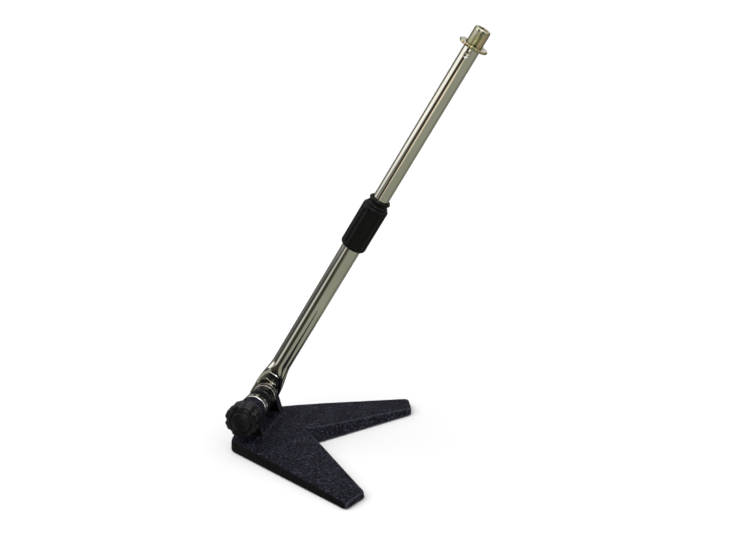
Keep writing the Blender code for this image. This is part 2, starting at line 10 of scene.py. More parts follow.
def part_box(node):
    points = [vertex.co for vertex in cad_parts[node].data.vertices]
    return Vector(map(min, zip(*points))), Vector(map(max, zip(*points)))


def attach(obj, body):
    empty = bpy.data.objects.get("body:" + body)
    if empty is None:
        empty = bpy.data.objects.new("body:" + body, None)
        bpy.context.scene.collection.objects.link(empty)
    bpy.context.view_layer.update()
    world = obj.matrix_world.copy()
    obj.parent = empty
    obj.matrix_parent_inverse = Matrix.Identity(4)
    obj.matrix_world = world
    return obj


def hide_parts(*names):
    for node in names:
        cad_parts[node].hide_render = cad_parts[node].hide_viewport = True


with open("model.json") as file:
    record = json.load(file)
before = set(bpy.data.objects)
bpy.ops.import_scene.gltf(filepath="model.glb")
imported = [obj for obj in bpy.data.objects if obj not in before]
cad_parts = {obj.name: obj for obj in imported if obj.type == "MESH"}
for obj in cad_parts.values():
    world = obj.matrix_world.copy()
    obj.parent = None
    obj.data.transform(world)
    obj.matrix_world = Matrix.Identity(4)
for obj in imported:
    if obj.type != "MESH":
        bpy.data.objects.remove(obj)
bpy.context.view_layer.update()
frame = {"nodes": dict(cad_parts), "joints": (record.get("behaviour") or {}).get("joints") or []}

MM = 0.001

# ---------------------------------------------------------------- places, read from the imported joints

JOINTS = {joint["name"]: joint for joint in frame["joints"]}
AXLE = Vector(JOINTS["stand_tilt"]["pos_m"])
UP_TUBE = Vector(JOINTS["tube_extend"]["axis"]).normalized()
ON_TUBE = Vector(JOINTS["tube_turn"]["pos_m"])
TUBE_FOOT = ON_TUBE - UP_TUBE * (ON_TUBE - AXLE).dot(UP_TUBE)
TILT = math.atan2(UP_TUBE.x, UP_TUBE.z)

# Local z runs up the tube from the tilt axis, and local y is world y.
TUBE = Matrix.Translation(TUBE_FOOT) @ Matrix.Rotation(TILT, 4, "Y")
# Local z is world y, and local x is world x.
AXIS = Matrix.Translation((AXLE.x, 0.0, AXLE.z)) @ Matrix.Rotation(-math.pi / 2, 4, "X")


def local_points(node, matrix):
    inverse = matrix.inverted()
    return np.array([inverse @ v.co for v in frame["nodes"][node].data.vertices])


def along(node, matrix):
    """(lowest, highest) local z of a CAD node."""
    heights = local_points(node, matrix)[:, 2]
    return heights.min(), heights.max()


def radius_of(node, matrix):
    """The largest distance of a CAD node from the local z axis."""
    return np.hypot(*local_points(node, matrix)[:, :2].T).max()


# ---------------------------------------------------------------- materials


class Nodes:
    """A material's node tree, with short calls for the nodes that these finishes share."""

    def __init__(self, name, colour, roughness, metallic=0.0, **sockets):
        self.material = bpy.data.materials.new(name)
        self.material.use_nodes = True
        self.tree = self.material.node_tree
        self.shader = self.tree.nodes["Principled BSDF"]
        self.shader.inputs["Base Color"].default_value = (*colour, 1.0)
        self.shader.inputs["Roughness"].default_value = roughness
        self.shader.inputs["Metallic"].default_value = metallic
        for socket, value in sockets.items():
            self.shader.inputs[socket.replace("_", " ")].default_value = value
        self.place = self.tree.nodes.new("ShaderNodeTexCoord").outputs["Object"]

    def link(self, source, target):
        self.tree.links.new(source, target)

    def stretched(self, scale, turn=(0.0, 0.0, 0.0)):
        """Object coordinates, turned and then scaled, for grain that runs one way."""
        turned_place = self.tree.nodes.new("ShaderNodeVectorRotate")
        turned_place.rotation_type = "EULER_XYZ"
        turned_place.inputs["Rotation"].default_value = turn
        self.link(self.place, turned_place.inputs["Vector"])
        scaled = self.tree.nodes.new("ShaderNodeVectorMath")
        scaled.operation = "MULTIPLY"
        scaled.inputs[1].default_value = scale
        self.link(turned_place.outputs["Vector"], scaled.inputs[0])
        return scaled.outputs["Vector"]

    def noise(self, scale, detail=2.0, place=None, roughness=0.5):
        node = self.tree.nodes.new("ShaderNodeTexNoise")
        node.inputs["Scale"].default_value = scale
        node.inputs["Detail"].default_value = detail
        node.inputs["Roughness"].default_value = roughness
        self.link(place or self.place, node.inputs["Vector"])
        return node.outputs["Fac"]

    def cells(self, scale):
        """The height of rounded cells, for pebbles."""
        node = self.tree.nodes.new("ShaderNodeTexVoronoi")
        node.feature = "SMOOTH_F1"
        node.inputs["Scale"].default_value = scale
        self.link(self.place, node.inputs["Vector"])
        return node.outputs["Distance"]

    def ramp(self, value, stops):
        """A colour or grey ramp over (position, colour) stops."""
        node = self.tree.nodes.new("ShaderNodeValToRGB")
        elements = node.color_ramp.elements
        while len(elements) < len(stops):
            elements.new(0.5)
        for element, (position, colour) in zip(elements, stops):
            element.position = position
            grey = isinstance(colour, (int, float))
            element.color = (colour, colour, colour, 1.0) if grey else (*colour, 1.0)
        self.link(value, node.inputs["Fac"])
        return node.outputs["Color"]

    def mix(self, share, first, second, blend="MIX"):
        node = self.tree.nodes.new("ShaderNodeMix")
        node.data_type = "RGBA"
        node.blend_type = blend
        for socket, value in (("Factor", share), ("A", first), ("B", second)):
            kind = 0 if socket == "Factor" else 2
            target = [i for i in node.inputs if i.name == socket][kind]
            if isinstance(value, (int, float)):
                target.default_value = value if kind == 0 else (value, value, value, 1.0)
            elif isinstance(value, tuple):
                target.default_value = (*value, 1.0)
            else:
                self.link(value, target)
        return node.outputs[2]

    def add(self, first, second, weight):
        """first + second * weight, for heights."""
        node = self.tree.nodes.new("ShaderNodeMath")
        node.operation = "MULTIPLY_ADD"
        self.link(second, node.inputs[0])
        node.inputs[1].default_value = weight
        self.link(first, node.inputs[2])
        return node.outputs["Value"]

    def attribute(self, name):
        node = self.tree.nodes.new("ShaderNodeAttribute")
        node.attribute_name = name
        return node.outputs["Fac"]

    def bump(self, height, distance, strength):
        node = self.tree.nodes.new("ShaderNodeBump")
        node.inputs["Distance"].default_value = distance
        node.inputs["Strength"].default_value = strength
        self.link(height, node.inputs["Height"])
        self.link(node.outputs["Normal"], self.shader.inputs["Normal"])

    def colour(self, value):
        self.link(value, self.shader.inputs["Base Color"])

    def roughness(self, value):
        self.link(value, self.shader.inputs["Roughness"])


def wrinkle_coat():
    """Black crackle powder coat, pebbled on top and smoother on its sides, with painted light: tops and +X
    faces painted paler as if lit, the sides darker as painted shade, and painted highlights along ridges.
    """
    n = Nodes("wrinkle_coat", (0.010, 0.010, 0.012), 0.50, Specular_IOR_Level=0.07)
    top, ridge_highlight = n.attribute("top"), n.attribute("ridge_highlight")
    pebbles = n.cells(520.0)
    fine = n.noise(1500.0, 3.0)
    coarse = n.noise(300.0, 4.0, roughness=0.6)
    n.bump(n.add(n.add(pebbles, fine, 0.5), coarse, 0.8), 0.8 * MM, 0.8)
    grain = n.noise(430.0, 4.0, roughness=0.8)
    speckle = [
        (0.42, (0.0010, 0.0010, 0.0016)),
        (0.52, (0.008, 0.008, 0.013)),
        (0.64, (0.052, 0.054, 0.082)),
    ]
    patches = n.ramp(n.noise(60.0, 3.0), [(0.35, 0.65), (0.70, 1.25)])
    upper = n.mix(1.0, n.ramp(grain, speckle), patches, "MULTIPLY")
    # Painted light and shade: the top mask takes the paler speckled colour, as if lit, and the rest takes a
    # near-black painted shade.
    coat = n.mix(top, (0.0020, 0.0020, 0.0026), upper)
    # A painted highlight along ridges that face +X, broken up by the grain.
    highlight_breakup = n.ramp(grain, [(0.35, 0.25), (0.60, 1.0)])
    n.colour(n.mix(n.mix(1.0, ridge_highlight, highlight_breakup, "MULTIPLY"), coat, (0.040, 0.043, 0.058)))
    sides = n.ramp(coarse, [(0.3, 0.36), (0.7, 0.48)])
    n.roughness(n.mix(top, sides, n.ramp(fine, [(0.3, 0.42), (0.7, 0.62)])))
    return n.material


def moulded_plastic(name, colour, roughness, specular, grain):
    """Moulded black plastic with a fine spark-eroded grain and rubbed, slightly glossier patches."""
    n = Nodes(name, colour, roughness, Specular_IOR_Level=specular)
    fine = n.noise(grain, 3.0)
    wear = n.noise(95.0, 4.0, roughness=0.6)
    n.bump(n.add(fine, wear, 0.4), 0.012 * MM, 0.5)
    n.roughness(n.ramp(wear, [(0.30, roughness - 0.07), (0.72, roughness + 0.08)]))
    pale = tuple(min(1.0, c * 1.7 + 0.002) for c in colour)
    n.colour(n.ramp(n.noise(420.0, 4.0, roughness=0.7), [(0.35, colour), (0.80, pale)]))
    return n.material


def rubber():
    n = Nodes("black_rubber", (0.004, 0.004, 0.004), 0.80, Specular_IOR_Level=0.12)
    grain = n.noise(900.0, 4.0, roughness=0.65)
    n.bump(grain, 0.08 * MM, 0.5)
    n.colour(n.ramp(n.noise(150.0, 4.0), [(0.35, (0.003, 0.003, 0.003)), (0.75, (0.008, 0.008, 0.008))]))
    n.roughness(n.ramp(grain, [(0.3, 0.70), (0.7, 0.88)]))
    return n.material


def plated(name, dark, light, low, high, turn):
    """Plated or turned metal: hairlines along one way, a film that shifts its colour, and smudged gloss.

    The roughness goes from low to high, and turn brings the way of the hairlines to z.
    """
    n = Nodes(name, light, low, 1.0)
    hairlines = n.noise(2600.0, 3.0, n.stretched((1.0, 1.0, 0.02), turn))
    film = n.noise(38.0, 4.0, n.stretched((1.0, 1.0, 0.35), turn), 0.6)
    smudges = n.noise(120.0, 5.0, roughness=0.65)
    n.colour(n.ramp(film, [(0.30, dark), (0.68, light)]))
    n.roughness(n.ramp(n.add(smudges, hairlines, 0.35), [(0.42, low), (0.95, high)]))
    n.bump(hairlines, 0.004 * MM, 0.35)
    return n.material


def yellow_zinc():
    """Yellow-passivated zinc, whose film drifts between straw, olive and a little rose."""
    n = Nodes("yellow_zinc", (0.62, 0.56, 0.34), 0.26, 1.0)
    drift = n.noise(95.0, 3.0, n.stretched((1.0, 1.0, 0.30), TUBE_GRAIN), 0.55)
    stops = [
        (0.30, (0.54, 0.52, 0.42)),
        (0.44, (0.38, 0.39, 0.24)),
        (0.54, (0.46, 0.40, 0.21)),
        (0.64, (0.49, 0.37, 0.28)),
        (0.76, (0.57, 0.54, 0.38)),
    ]
    n.colour(n.ramp(drift, stops))
    scratches = n.noise(1400.0, 4.0, roughness=0.7)
    n.roughness(n.ramp(scratches, [(0.3, 0.12), (0.75, 0.22)]))
    n.bump(scratches, 0.005 * MM, 0.4)
    return n.material


def natural_nylon():
    n = Nodes("natural_nylon", (0.70, 0.68, 0.60), 0.45, Subsurface_Weight=0.15)
    n.shader.inputs["Subsurface Radius"].default_value = (0.002, 0.002, 0.0015)
    n.bump(n.noise(1300.0, 3.0), 0.02 * MM, 0.4)
    n.roughness(n.ramp(n.noise(200.0, 3.0), [(0.3, 0.38), (0.7, 0.52)]))
    return n.material


def fibre():
    n = Nodes("fibre", (0.20, 0.06, 0.03), 0.75)
    strands = n.noise(700.0, 5.0, n.stretched((1.0, 6.0, 1.0)), 0.7)
    n.colour(n.ramp(strands, [(0.3, (0.13, 0.035, 0.02)), (0.7, (0.26, 0.085, 0.04))]))
    n.bump(strands, 0.05 * MM, 0.5)
    return n.material


# Turns that bring the tube's length, or the tilt axis, to the hairlines' z.
TUBE_GRAIN = (0.0, -TILT, 0.0)
AXLE_GRAIN = (math.pi / 2, 0.0, 0.0)

COAT = wrinkle_coat()
KNOB_PLASTIC = moulded_plastic("knob_plastic", (0.003, 0.003, 0.004), 0.24, 0.22, 1500.0)
GRIP_PLASTIC = moulded_plastic("grip_plastic", (0.002, 0.002, 0.002), 0.32, 0.13, 1900.0)
RUBBER = rubber()
NICKEL = plated("bright_nickel", (0.54, 0.53, 0.48), (0.61, 0.60, 0.55), 0.04, 0.09, TUBE_GRAIN)
CHROME = plated("chrome", (0.72, 0.71, 0.68), (0.82, 0.81, 0.78), 0.10, 0.20, AXLE_GRAIN)
STEEL = plated("bright_steel", (0.50, 0.50, 0.49), (0.62, 0.62, 0.61), 0.22, 0.36, AXLE_GRAIN)
BRASS = plated("turned_brass", (0.55, 0.38, 0.13), (0.66, 0.48, 0.18), 0.20, 0.34, AXLE_GRAIN)
ZINC = yellow_zinc()
NYLON = natural_nylon()
FIBRE = fibre()


# ---------------------------------------------------------------- making meshes

SHARP_ANGLE = math.radians(38.0)


def piece(name, mesh, matrix, material, body, replaced):
    """A new piece in place, smooth-shaded, riding on its body in the place of CAD nodes."""
    mesh.transform(matrix)
    mesh.materials.clear()
    mesh.materials.append(material)
    mesh.shade_smooth()
    mesh.set_sharp_from_angle(angle=SHARP_ANGLE)
    obj = bpy.data.objects.new(name, mesh)
    bpy.context.scene.collection.objects.link(obj)
    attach(obj, body)
    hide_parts(*replaced)


def grid_mesh(name, rows, wrap):
    """A mesh of quads through equal rows of points, each row closed on itself.

    wrap joins the last row to the first, and without it the end rows are capped. A row that has shrunk to
    one point closes the surface there.
    """
    count = len(rows[0])
    points = np.concatenate([np.asarray(row, float) for row in rows])
    faces = []
    for i in range(len(rows) if wrap else len(rows) - 1):
        a, b = i * count, (i + 1) % len(rows) * count
        faces += [(a + j, a + (j + 1) % count, b + (j + 1) % count, b + j) for j in range(count)]
    if not wrap:
        faces += [tuple(reversed(range(count))), tuple(range(len(points) - count, len(points)))]
    mesh = bpy.data.meshes.new(name)
    mesh.from_pydata(points.tolist(), [], faces)
    bm = bmesh.new()
    bm.from_mesh(mesh)
    bmesh.ops.remove_doubles(bm, verts=bm.verts, dist=1e-7)
    bmesh.ops.dissolve_degenerate(bm, edges=bm.edges, dist=1e-8)
    bmesh.ops.recalc_face_normals(bm, faces=bm.faces)
    bm.to_mesh(mesh)
    bm.free()
    return mesh


def rounded(profile, steps):
    """A closed (radius, z, fillet) profile with each corner that has a fillet turned into an arc."""
    made = []
    count = len(profile)
    for i, (r, z, fillet) in enumerate(profile):
        here = Vector((r, z))
        if not fillet:
            made.append(here)
            continue
        back = Vector(profile[i - 1][:2]) - here
        ahead = Vector(profile[(i + 1) % count][:2]) - here
        size = min(fillet, 0.45 * back.length, 0.45 * ahead.length)
        start, end = here + back.normalized() * size, here + ahead.normalized() * size
        for k in range(steps + 1):
            t = k / steps
            made.append(start * (1 - t) ** 2 + here * 2 * t * (1 - t) + end * t**2)
    return made


def full_turn(count):
    """So many equal steps of angle round a circle."""
    return 2 * np.pi * np.arange(count) / count


def loop(radii, angles, z):
    """A row of points round the local z axis. The radius and the height may each be one for all."""
    radii, z = np.broadcast_to(radii, angles.shape), np.broadcast_to(z, angles.shape)
    return np.column_stack((radii * np.cos(angles), radii * np.sin(angles), z))


def lathe(name, profile, segments=96, steps=4):
    """A ring or disc from a closed (radius, z, fillet) profile."""
    angles = full_turn(segments)
    return grid_mesh(name, [loop(p.x, angles, p.y) for p in rounded(profile, steps)], True)


def ring_profile(inner, outer, low, high, fillet):
    """A square section, with smaller fillets at the bore."""
    return [
        (inner, low, 0.4 * fillet),
        (outer, low, fillet),
        (outer, high, fillet),
        (inner, high, 0.4 * fillet),
    ]


def scooped(angles, outer, scoops, scoop_radius, centre):
    """The radius of a round of scoops cut by circles, one centred on each of the given angles."""
    pitch = 2 * np.pi / scoops
    away = (angles + pitch / 2) % pitch - pitch / 2
    inside = np.clip(scoop_radius**2 - (centre * np.sin(away)) ** 2, 0, None)
    wall = np.where(inside > 0, centre * np.cos(away) - np.sqrt(inside), outer)
    return np.minimum(outer, wall)


def ease(value, start, end):
    """0 at start and 1 at end, with no kink at either."""
    share = np.clip((value - start) / (end - start), 0.0, 1.0)
    return share * share * (3 - 2 * share)


def arc(share):
    """The height of a quarter circle of radius 1, from 0 at a share of 0 to 1 at a share of 1 or more."""
    return math.sqrt(max(0.0, 1 - (1 - min(1.0, share)) ** 2))


def softened(values, passes):
    """A closed run of values, averaged with its neighbours to round its corners."""
    for _ in range(passes):
        values = 0.5 * values + 0.25 * (np.roll(values, 1) + np.roll(values, -1))
    return values


def evaluated_copy(obj, name):
    """The mesh that an object's modifiers make. The object is removed."""
    graph = bpy.context.evaluated_depsgraph_get()
    mesh = bpy.data.meshes.new_from_object(obj.evaluated_get(graph))
    mesh.name = name
    bpy.data.objects.remove(obj)
    return mesh


def scratch(name, mesh):
    """An object to work on, which doesn't stay in the scene."""
    obj = bpy.data.objects.new(name, mesh)
    bpy.context.scene.collection.objects.link(obj)
    return obj


# ---------------------------------------------------------------- base

VOXEL = 0.7 * MM

# Rounds of smoothing: for the casting's own arrises, and to tell its ridges from its flats.
SOFTENED, BLURRED = 12, 60

# Each range is where a mask of the coat goes from 0 to 1. The top, whose coat is painted paler as if lit,
# is judged by a normal's z and a share of its x. A ridge stands out of the blurred casting by so many
# millimetres and gets a painted highlight, corners stand out further and get none, and only what faces +X
# does.
TOP_LEAN, TOP_RANGE = 0.75, (0.42, 0.66)
RIDGE_HIGHLIGHT_RANGE, CORNER_RANGE, FRONT_RANGE = (0.14, 0.32), (0.75, 0.50), (0.05, 0.20)


def relaxed(rounds):
    """The casting as an even mesh, smoothed so many times."""
    rough = scratch("rough_casting", frame["nodes"]["base_casting"].data.copy())
    remesh = rough.modifiers.new("even", "REMESH")
    remesh.mode = "VOXEL"
    remesh.voxel_size = VOXEL
    relax = rough.modifiers.new("relax", "SMOOTH")
    relax.factor = 0.5
    relax.iterations = rounds
    return evaluated_copy(rough, f"base_shell_{rounds}")


def relief(points, size, height):
    """Lumps of a size and a height, as a displacement for each point."""
    return height * np.array([noise.noise(Vector(p) / size) for p in points])


def positions(mesh):
    points = np.empty(len(mesh.vertices) * 3)
    mesh.vertices.foreach_get("co", points)
    return points.reshape(-1, 3)


def base():
    """The casting with rounded arrises and fillets, and the relief of its crackle coat on top."""
    mesh, blurred = relaxed(SOFTENED), relaxed(BLURRED)
    points = positions(mesh)
    normals = np.empty(points.size)
    mesh.vertex_normals.foreach_get("vector", normals)
    normals = normals.reshape(-1, 3)
    convex = ((points - positions(blurred)) * normals).sum(axis=1) / MM
    bpy.data.meshes.remove(blurred)
    # Where the coat is painted paler as if lit: faces turned up and towards +X. The coat's relief goes there
    # too.
    lit_top = ease(normals[:, 2] + TOP_LEAN * normals[:, 0], *TOP_RANGE)
    # Where the coat gets a painted highlight: ridges that face +X, short of the sharpest corners.
    ridge_highlight = ease(convex, *RIDGE_HIGHLIGHT_RANGE) * ease(convex, *CORNER_RANGE) * ease(normals[:, 0], *FRONT_RANGE)
    lumps = relief(points, 7 * MM, 0.06 * MM) + relief(points, 1.5 * MM, 0.07 * MM)
    points += normals * (lumps * lit_top)[:, None]
    mesh.vertices.foreach_set("co", points.ravel())
    for name, values in (("top", lit_top), ("ridge_highlight", ridge_highlight)):
        shade = mesh.attributes.new(name, "FLOAT", "POINT")
        shade.data.foreach_set("value", values.astype(np.float32))
    piece("base_shell", mesh, Matrix(), COAT, "base", ["base_casting"])


def foot_pad(label):
    """A turned rubber pad with grip grooves in its underside."""
    node = f"foot_pad_{label}"
    low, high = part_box(node)
    radius = (high.x - low.x) / 2
    top, groove, groove_pitch = high.z, 0.4 * MM, 2.2 * MM
    profile = [(0.0, top, 0.0), (radius, top, 0.2 * MM), (radius, 0.0, 0.6 * MM)]
    for index in range(int(radius / (2.4 * MM))):
        r = radius - 1.6 * MM - index * groove_pitch
        profile += [
            (r, 0.0, 0.1 * MM),
            (r - 0.2 * MM, groove, 0.1 * MM),
            (r - 0.6 * MM, groove, 0.1 * MM),
            (r - 0.8 * MM, 0.0, 0.1 * MM),
        ]
    profile.append((0.0, 0.0, 0.0))
    place = Matrix.Translation(((low.x + high.x) / 2, (low.y + high.y) / 2, 0.0))
    piece(f"pad_{label}", lathe(node, profile, 72, 3), place, RUBBER, "base", [node])


# ---------------------------------------------------------------- clamp


def bore_of(node):
    """The smallest distance of a CAD node on the tilt axis from it."""
    points = local_points(node, AXIS)
    return np.hypot(points[:, 0], points[:, 1]).min()


def axle_ring(node, name, material, fillet, body="base"):
    """A plain ring on the tilt axis, at its CAD size."""
    low, high = along(node, AXIS)
    profile = ring_profile(bore_of(node), radius_of(node, AXIS), low, high, fillet)
    piece(name, lathe(name, profile), AXIS, material, body, [node])


def waisted_spacer():
    """The black spacer: a raised band between two chamfered ends."""
    low, high = along("clamp_spacer", AXIS)
    outer, inner = radius_of("clamp_spacer", AXIS), bore_of("clamp_spacer")
    profile = [
        (inner, low, 0.2 * MM),
        (outer - 1.9 * MM, low, 0.5 * MM),
        (outer - 1.2 * MM, low + 3.4 * MM, 0.8 * MM),
        (outer, low + 4.6 * MM, 0.7 * MM),
        (outer, high - 0.9 * MM, 0.8 * MM),
        (outer - 0.7 * MM, high, 0.3 * MM),
        (inner, high, 0.2 * MM),
    ]
    piece("spacer", lathe("spacer", profile), AXIS, KNOB_PLASTIC, "base", ["clamp_spacer"])


def split_washer():
    """A spring washer: a square section that climbs a little over its one turn, up to a slit."""
    low, high = along("lock_washer", AXIS)
    outer, inner = radius_of("lock_washer", AXIS), 4.3 * MM
    slit = math.radians(9.0)
    rise = 0.25 * (high - low)
    thick = (high - low) - rise
    rows = []
    for share in np.linspace(0.0, 1.0, 73):
        angle = slit / 2 + share * (2 * math.pi - slit)
        z = low + rise * share
        corners = ((inner, z), (outer, z), (outer, z + thick), (inner, z + thick))
        rows.append([(r * math.cos(angle), r * math.sin(angle), h) for r, h in corners])
    mesh = grid_mesh("spring_washer", rows, False)
    piece("spring_washer", mesh, AXIS, STEEL, "base", ["lock_washer"])


# Where a thread's flat crest ends and its flat root starts, in pitches from the crest's middle.
CREST_TO, ROOT_FROM = 0.148, 0.452


def threaded_radius(angles, z, outer, pitch, depth, start, end, fade=0.7):
    """A right-hand thread's radius, fading to its root over so many pitches at both ends."""
    off_crest = np.abs((z / pitch - angles / (2 * np.pi)) % 1.0 - 0.5)
    tooth = np.clip((ROOT_FROM - off_crest) / (ROOT_FROM - CREST_TO), 0.0, 1.0)
    near_end = min(1.0, max(0.0, (z - start) / (fade * pitch)), max(0.0, (end - z) / (fade * pitch)))
    return outer - depth * (1.0 - tooth * near_end)


def bolt():
    """The bolt: a chamfered hexagon head on a shank whose front end is threaded."""
    low, high = along("pivot_bolt", AXIS)
    head_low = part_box("lock_washer")[1].y + 0.3 * MM
    shank = 4.0 * MM
    pitch, thread_length = 1.25 * MM, 24 * MM
    across = radius_of("pivot_bolt", AXIS) * math.cos(math.pi / 6)
    angles = full_turn(96)
    away = (angles + np.pi / 6) % (np.pi / 3) - np.pi / 6
    hexagon = np.minimum(across / np.cos(away), across * 1.13)
    rows = []

    def level(radii, z):
        rows.append(loop(radii, angles, z))

    threaded_to = low + thread_length
    level(0.0, low)
    level(shank - 0.9 * MM, low)
    for z in np.linspace(low + 0.3 * MM, threaded_to, int(thread_length / pitch * 8)):
        level(threaded_radius(angles, z, shank, pitch, 0.6 * MM, low, threaded_to), z)
    level(shank, threaded_to + 0.6 * MM)
    level(shank, head_low)
    face = across - 0.35 * MM
    level(face, head_low)
    level(face + 0.1 * MM, head_low + 0.25 * MM)
    level(hexagon, head_low + 0.3 * MM + (hexagon - across) * 0.5)
    level(hexagon, high - 0.15 * MM - (hexagon - face) * 0.5)
    level(face, high)
    level(face * 0.72, high)
    level(face * 0.68, high - 0.25 * MM)
    level(0.0, high - 0.25 * MM)
    mesh = grid_mesh("hex_bolt", rows, False)
    piece("hex_bolt", mesh, AXIS, STEEL, "base", ["pivot_bolt"])


KNOB_LOBES = 8
NOTCH_TURN = math.radians(1)


def knob():
    """The grip: flat lobes with scooped notches between them, a bevelled front and a recess for the cap."""
    front, back_end = along("knob", AXIS)
    back = front + 15.0 * MM
    outer = radius_of("knob", AXIS)
    cap_r = radius_of("knob_cap", AXIS)
    bore, neck = 5.4 * MM, 9.5 * MM
    angles = full_turn(KNOB_LOBES * 30)
    turned = angles - NOTCH_TURN
    off_middle = turned % (2 * np.pi / KNOB_LOBES) - np.pi / KNOB_LOBES
    flats = np.minimum(outer, outer * 0.97 / np.cos(off_middle))
    notches = scooped(turned, outer * 1.1, KNOB_LOBES, 4.2 * MM, outer + 2.2 * MM)
    lobed = softened(np.minimum(flats, notches), 2)
    # (height, how far in from the lobes' outline, share of a plain circle, that circle's radius)
    levels = [
        (back_end, 0.0, 1.0, bore),
        (back_end, 0.0, 1.0, neck - 0.6 * MM),
        (back_end - 0.2 * MM, 0.0, 1.0, neck - 0.15 * MM),
        (back_end - 0.7 * MM, 0.0, 1.0, neck),
        (back + 0.8 * MM, 0.0, 1.0, neck),
        (back + 0.2 * MM, 0.0, 1.0, neck + 0.3 * MM),
        (back, 0.0, 1.0, neck + 0.9 * MM),
        (back, 1.1 * MM, 0.0, 0.0),
        (back - 0.15 * MM, 0.5 * MM, 0.0, 0.0),
        (back - 0.5 * MM, 0.12 * MM, 0.0, 0.0),
        (back - 1.0 * MM, 0.0, 0.0, 0.0),
        (front + 8.0 * MM, 0.0, 0.0, 0.0),
        (front + 3.0 * MM, 0.0, 0.0, 0.0),
        (front + 2.7 * MM, 0.06 * MM, 0.0, 0.0),
        (front + 2.4 * MM, 0.25 * MM, 0.0, 0.0),
        (front + 1.7 * MM, 0.95 * MM, 0.0, 0.0),
        (front + 1.5 * MM, 1.3 * MM, 0.0, 0.0),
        (front + 1.0 * MM, 2.8 * MM, 0.3, outer - 3.3 * MM),
        (front + 0.5 * MM, 4.2 * MM, 0.85, cap_r + 2.9 * MM),
        (front + 0.12 * MM, 0.0, 1.0, cap_r + 1.9 * MM),
        (front, 0.0, 1.0, cap_r + 0.7 * MM),
        (front + 0.1 * MM, 0.0, 1.0, cap_r + 0.3 * MM),
        (front + 0.3 * MM, 0.0, 1.0, cap_r + 0.15 * MM),
        (front + 3.0 * MM, 0.0, 1.0, cap_r + 0.15 * MM),
        (front + 3.0 * MM, 0.0, 1.0, bore),
    ]
    rows = []
    for z, inset, circle, radius in levels:
        rows.append(loop((lobed - inset) * (1 - circle) + radius * circle, angles, z))
    mesh = grid_mesh("knob_grip", rows, True)
    piece("knob_grip", mesh, AXIS, KNOB_PLASTIC, "knob", ["knob"])


def knob_cap():
    """A round cap, domed, with a shallow step near its edge."""
    low, high = along("knob_cap", AXIS)
    radius = radius_of("knob_cap", AXIS)
    edge = low + 2.1 * MM
    dome_foot, dome_radius = edge - 0.5 * MM, 0.96 * radius
    profile = [(0.0, high, 0.0), (radius, high, 0.2 * MM), (radius, edge, 0.35 * MM)]
    for a in np.linspace(1.45, 0, 14):
        profile.append((dome_radius * math.sin(a), dome_foot - (dome_foot - low) * math.cos(a), 0.0))
    mesh = lathe("cap_button", profile)
    piece("cap_button", mesh, AXIS, KNOB_PLASTIC, "knob", ["knob_cap"])


# ---------------------------------------------------------------- lower tube

TUBE_WALL = 1.2 * MM
TUBE_SIDES = 240

# Heights over the tilt axis where the tube starts to widen and to sink, and where its fold starts and
# is fully open.
WIDEN_FROM, SINK_FROM = 50 * MM, 40 * MM
FOLD_TOP, FOLD_FOOT = 32 * MM, 13 * MM
# How far the fold's foot stops short of the tube's edge, and how wide its slope is.
FOLD_MARGIN, FOLD_SLOPE = 2.6 * MM, 1.1 * MM


def pressed_section(z, radius, half, foot):
    """The lower tube's outline at a height, as two half superellipses.

    Towards the foot it widens, and its near wall flattens and sinks to the far wall. A flat press has
    sunk the middle further, inside a fold that starts in a point and runs down to both sides.
    """
    angles = 2 * np.pi * (np.arange(TUBE_SIDES) + 0.5) / TUBE_SIDES
    cosine, sine = np.cos(angles), np.sin(angles)
    width = radius + (half - radius) * ease(z, WIDEN_FROM, 9 * MM)
    power = 2 / (2 + 3.5 * ease(z, WIDEN_FROM, 22 * MM))
    contact, sunk = radius - 2.5 * MM, ease(z, SINK_FROM, 7 * MM)
    front = -radius + (contact - 0.8 * MM + radius) * sunk
    middle = 0.5 * (radius + contact) * sunk
    x = width * np.sign(cosine) * np.abs(cosine) ** power
    depth = np.where(sine > 0, radius - middle, front - middle)
    y = middle + depth * np.abs(sine) ** power
    fold_half = (half - FOLD_MARGIN) * np.clip((FOLD_TOP - z) / (FOLD_TOP - FOLD_FOOT), 0.0, 1.0) ** 0.85
    pressed = front + (contact - front) * ease(z, FOLD_TOP + 1 * MM, FOLD_FOOT)
    inside = ease(np.abs(x), fold_half, fold_half - FOLD_SLOPE) * (sine < 0)
    y += (np.maximum(y, pressed) - y) * inside
    x *= math.sqrt(1 - (0.62 * ease(z, foot + 9 * MM, foot)) ** 2)
    return np.column_stack((x, y, np.full(TUBE_SIDES, z)))


